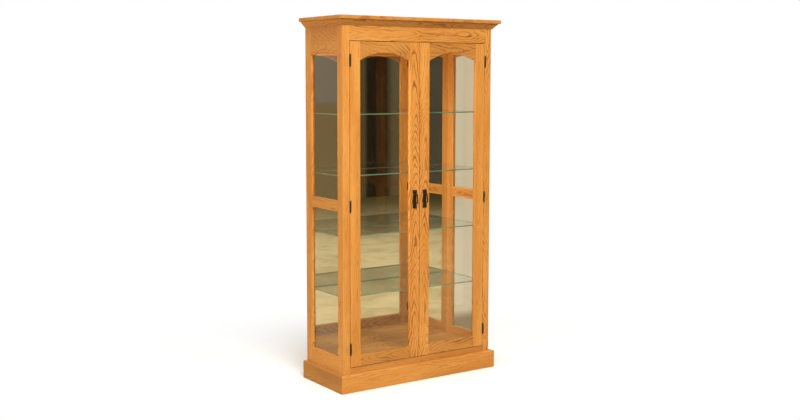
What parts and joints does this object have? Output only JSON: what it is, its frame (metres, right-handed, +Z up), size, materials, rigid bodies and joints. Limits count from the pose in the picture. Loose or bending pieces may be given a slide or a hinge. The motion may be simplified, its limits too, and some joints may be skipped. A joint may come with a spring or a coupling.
{
  "type": "curio cabinet",
  "caption": "Tall oak curio cabinet with a pair of arched glass doors, glazed sides, mirror back, glass shelves on pegs and black drop handles.",
  "frame": {"origin": "on the floor, at the middle of the whole footprint in X and Y", "axes": "+Z up from the floor; +X to the right seen from the front; +Y from the doors to the back"},
  "size_m": [1.086, 0.434, 2.03],
  "materials": {
    "oak_front": "golden oak, satin varnish",
    "oak_side": "golden oak, satin varnish",
    "oak_inside": "golden oak, satin varnish",
    "back_board": "plywood, unfinished",
    "pane_glass": "clear float glass",
    "shelf_glass": "clear float glass with polished edges",
    "mirror_glass": "silvered",
    "black_iron": "forged, black wax",
    "bright_steel": "zinc plated",
    "catch_plastic": "moulded brown"
  },
  "bodies": {
    "cabinet": {"plinth_front": "oak_front", "plinth_left": "oak_side", "plinth_right": "oak_side", "back_base_rail": "oak_inside", "face_stile_left": "oak_front", "face_stile_right": "oak_front", "face_top_rail": "oak_front", "face_bottom_rail": "oak_front", "left_front_stile": "oak_side", "left_rear_stile": "oak_side", "left_top_rail": "oak_side", "left_middle_rail": "oak_side", "left_bottom_rail": "oak_side", "right_front_stile": "oak_side", "right_rear_stile": "oak_side", "right_top_rail": "oak_side", "right_middle_rail": "oak_side", "right_bottom_rail": "oak_side", "left_side_glass": "pane_glass", "right_side_glass": "pane_glass", "side_glass_beads": "oak_side", "floor_panel": "oak_inside", "ceiling_panel": "oak_inside", "top_board": "oak_front", "crown_front": "oak_front", "crown_left": "oak_side", "crown_right": "oak_side", "mirror": "mirror_glass", "back_panel": "back_board", "glass_shelf_1": "shelf_glass", "glass_shelf_2": "shelf_glass", "glass_shelf_3": "shelf_glass", "glass_shelf_4": "shelf_glass", "shelf_pegs": "bright_steel", "magnetic_catches": "catch_plastic", "hinge_frame_leaves": "black_iron", "hinge_pins": "black_iron", "carcass_screws": "bright_steel"},
    "left_door": {"left_door_hinge_stile": "oak_front", "left_door_meeting_stile": "oak_front", "left_door_top_rail": "oak_front", "left_door_bottom_rail": "oak_front", "left_door_glass": "pane_glass", "left_door_beads": "oak_front", "left_door_leaves": "black_iron", "left_door_screws": "black_iron", "left_strike_plate": "bright_steel", "left_handle_plate": "black_iron"},
    "left_handle_bail": {"left_bail": "black_iron"},
    "right_door": {"right_door_hinge_stile": "oak_front", "right_door_meeting_stile": "oak_front", "right_door_top_rail": "oak_front", "right_door_bottom_rail": "oak_front", "right_door_glass": "pane_glass", "right_door_beads": "oak_front", "right_door_leaves": "black_iron", "right_door_screws": "black_iron", "right_strike_plate": "bright_steel", "right_handle_plate": "black_iron"},
    "right_handle_bail": {"right_bail": "black_iron"}
  },
  "joints": [
    {"name": "left_door_hinge", "type": "hinge", "parent": "cabinet", "child": "left_door", "pos_m": [-0.45775, -0.182, 1.014], "axis": [0, 0, -1], "range_deg": [0, 165]},
    {"name": "right_door_hinge", "type": "hinge", "parent": "cabinet", "child": "right_door", "pos_m": [0.45775, -0.182, 1.014], "axis": [0, 0, 1], "range_deg": [0, 165]},
    {"name": "left_bail_pivot", "type": "hinge", "parent": "left_door", "child": "left_handle_bail", "pos_m": [-0.034, -0.1855, 1.0545], "axis": [-1, 0, 0], "range_deg": [0, 75]},
    {"name": "right_bail_pivot", "type": "hinge", "parent": "right_door", "child": "right_handle_bail", "pos_m": [0.034, -0.1855, 1.0545], "axis": [-1, 0, 0], "range_deg": [0, 75]}
  ]
}
